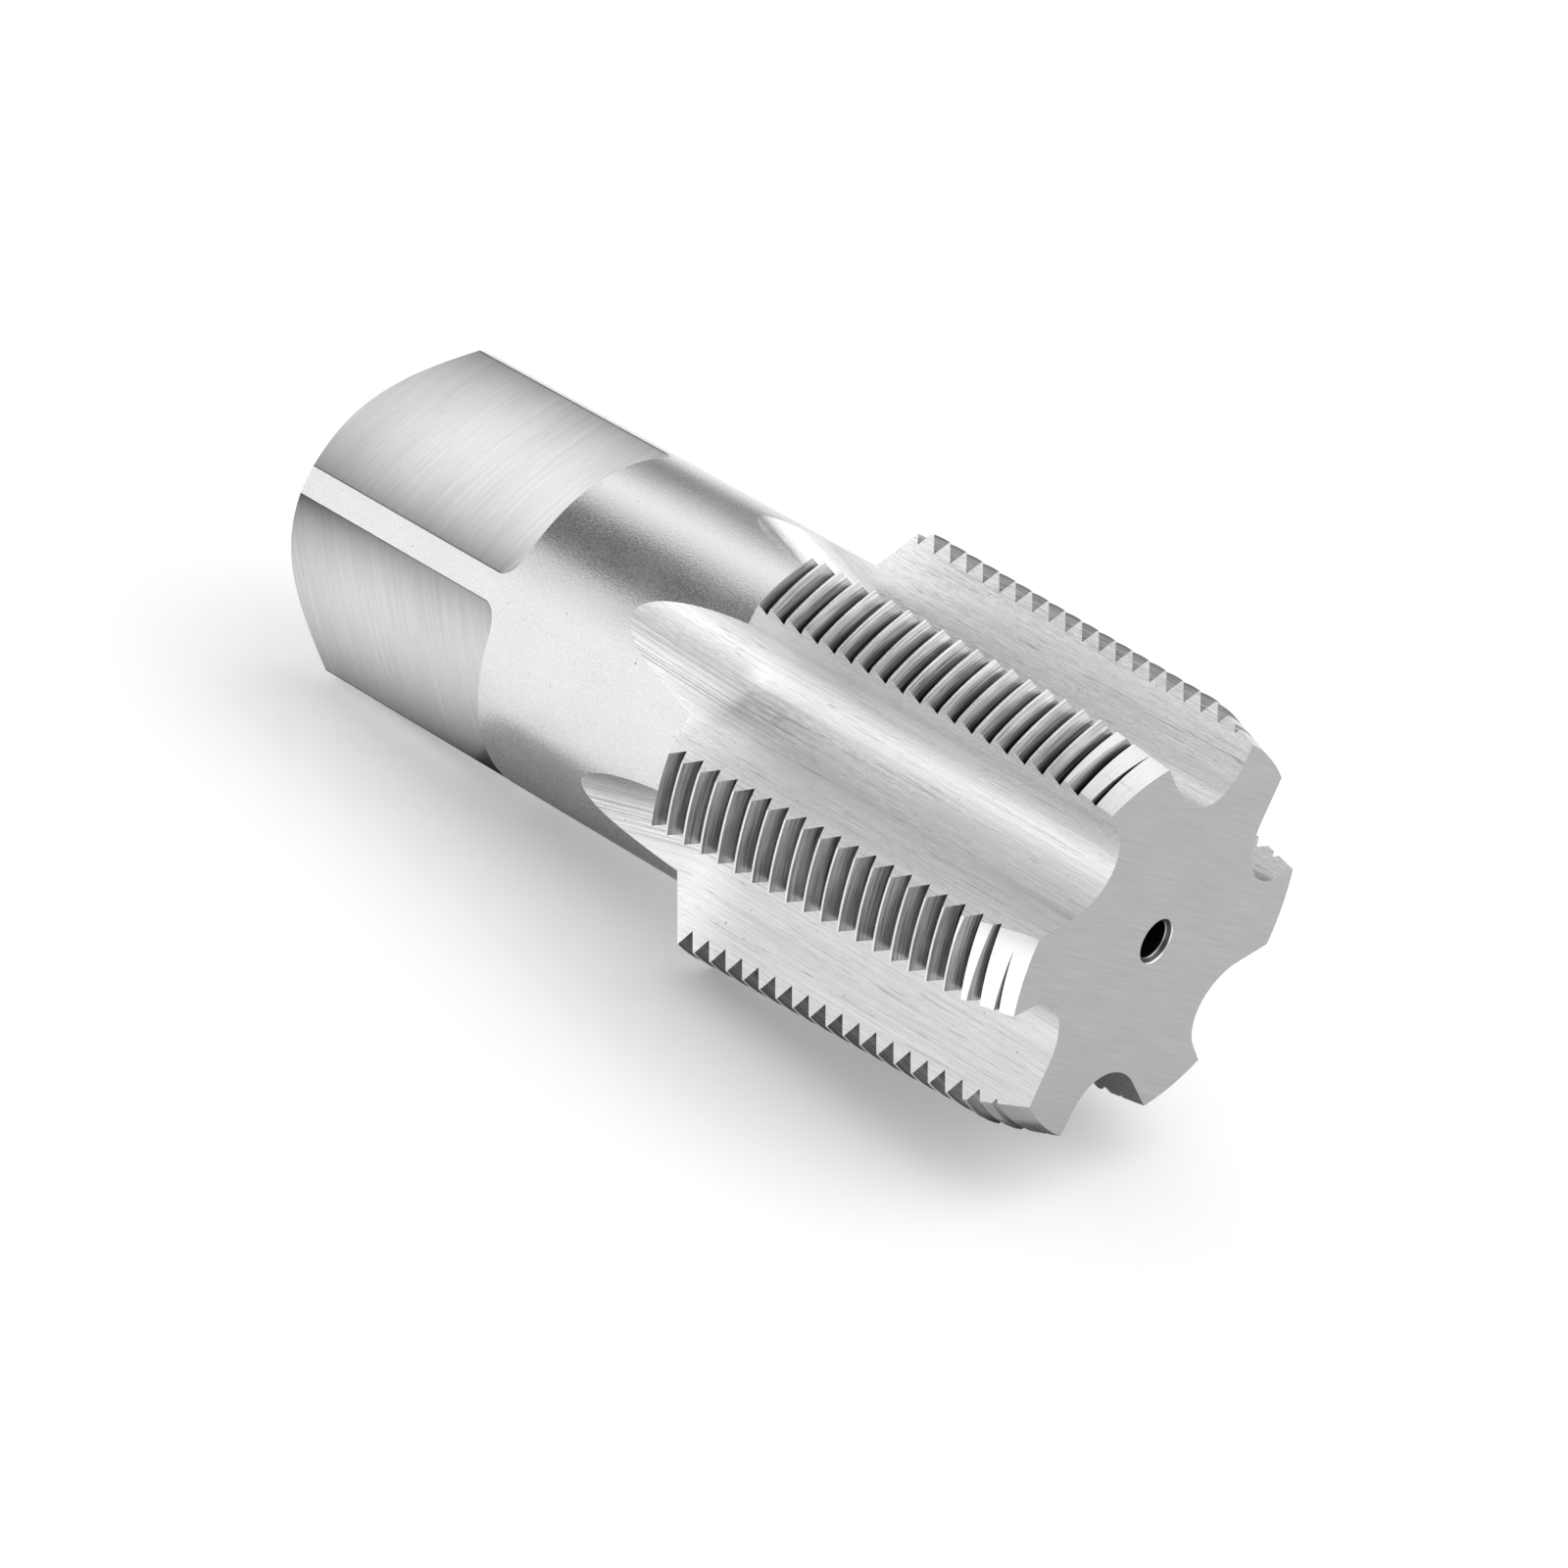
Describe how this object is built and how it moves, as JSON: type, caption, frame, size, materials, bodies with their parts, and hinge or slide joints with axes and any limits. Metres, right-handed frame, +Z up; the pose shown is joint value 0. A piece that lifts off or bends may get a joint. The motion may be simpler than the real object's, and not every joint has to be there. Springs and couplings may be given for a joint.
{
  "type": "pipe tap",
  "caption": "Taper pipe tap: threaded lands between straight flutes, a lead chamfer, a round shank and a square drive end.",
  "frame": {"origin": "middle of the box that the tap lies in, at the ground", "axes": "+X towards the cutting end, along the ground; +Z up; the tap lies at rest on two lands and a corner of its square"},
  "size_m": [0.1102, 0.049, 0.0479],
  "materials": {
    "tap_steel": "ground bright high-speed steel"
  },
  "bodies": {
    "root": {"pipe_tap": "tap_steel"}
  },
  "joints": []
}
